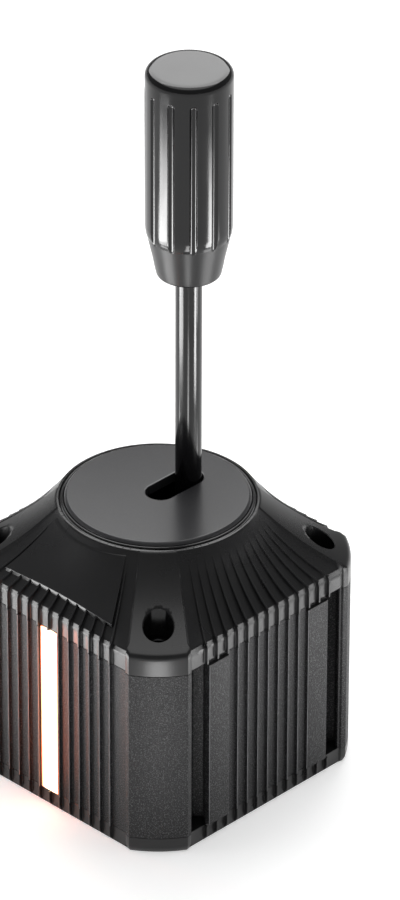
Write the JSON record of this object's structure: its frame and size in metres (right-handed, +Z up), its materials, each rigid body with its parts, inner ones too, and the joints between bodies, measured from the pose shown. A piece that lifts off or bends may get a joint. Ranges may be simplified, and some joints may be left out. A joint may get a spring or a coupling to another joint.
{
  "type": "sim racing handbrake",
  "caption": "Lever brake controller: upright rod with a fluted handle tilts forward out of a square ribbed housing with side T-slots and a front light bar.",
  "frame": {"origin": "middle of the housing's underside", "axes": "+Z up along the housing, -Y front with the light bar, T-slots on +X and -X"},
  "size_m": [0.1232, 0.1232, 0.304],
  "materials": {
    "black_gloss": "high gloss black with flutes",
    "black_rod": "gloss black coated steel",
    "steel": "turned and ground",
    "satin_disc": "satin anodised dark grey",
    "black_trim": "gloss black ring",
    "dark_screws": "black oxide steel",
    "dark_cover": "fine satin coat",
    "textured_body": "fine textured powder coat",
    "light_lens": "clouded light guide, lit",
    "green_board": "circuit board lacquer",
    "diode_yellow": "diode resin",
    "dark_base": "fine satin coat",
    "frame_black": "black coated sheet steel",
    "spring_steel": "drawn wire",
    "bearing_steel": "polished",
    "hub_alloy": "machined",
    "elastomer_orange": "smooth elastomer",
    "cell_steel": "turned",
    "brass": "turned",
    "black_rubber": "matt",
    "chip_black": "moulded",
    "socket_shell": "pressed shell"
  },
  "bodies": {
    "housing": {"top_disc": "satin_disc", "trim_ring": "black_trim", "disc_screws": "dark_screws", "top_cover": "dark_cover", "cover_screws": "dark_screws", "body_extrusion": "textured_body", "light_bar": "light_lens", "light_board": "green_board", "light_diodes": "diode_yellow", "bottom_cover": "dark_base", "base_screws": "dark_screws", "left_frame": "frame_black", "right_frame": "frame_black", "frame_screws": "steel", "pivot_axle": "steel", "axle_clips": "spring_steel", "return_spring": "spring_steel", "elastomer_rings": "elastomer_orange", "load_cell": "cell_steel", "stem_bush": "brass", "load_bracket": "frame_black", "bracket_screws": "steel", "stop_bar": "frame_black", "stop_screws": "steel", "stop_pad": "black_rubber", "main_board": "green_board", "board_parts": "chip_black", "board_spacers": "brass", "board_screws": "steel", "usb_socket": "socket_shell"},
    "lever": {"handle": "black_gloss", "lever_rod": "black_rod", "lock_nut": "steel", "lever_hub": "hub_alloy", "pivot_bearings": "bearing_steel", "roller_pin": "steel"},
    "roller": {"roller": "bearing_steel"},
    "plunger": {"plunger": "steel"},
    "washer": {"stack_washer": "steel"},
    "spacer": {"stack_spacer": "steel"}
  },
  "joints": [
    {"name": "lever_pull", "type": "hinge", "parent": "housing", "child": "lever", "pos_m": [0, 0.017, 0.04], "axis": [1, 0, 0], "range_deg": [0, 11], "stiffness_Nm_per_rad": 60, "springref_deg": -1.72},
    {"name": "roller_spin", "type": "hinge", "parent": "lever", "child": "roller", "pos_m": [0, 0.0015, 0.076], "axis": [1, 0, 0], "continuous": true},
    {"name": "plunger_slide", "type": "slide", "parent": "housing", "child": "plunger", "axis": [0, -1, 0], "range_m": [0, 0.00693], "deforming": ["return_spring"]},
    {"name": "washer_slide", "type": "slide", "parent": "housing", "child": "washer", "axis": [0, -1, 0], "range_m": [0, 0.00196], "deforming": ["elastomer_rings"]},
    {"name": "spacer_slide", "type": "slide", "parent": "housing", "child": "spacer", "axis": [0, -1, 0], "range_m": [0, 0.000988]}
  ],
  "couplings": [
    {"joint": "plunger_slide", "follows": "lever_pull", "m_per_rad": 0.036},
    {"joint": "washer_slide", "follows": "lever_pull", "m_per_rad": 0.01008},
    {"joint": "spacer_slide", "follows": "lever_pull", "m_per_rad": 0.00504}
  ]
}
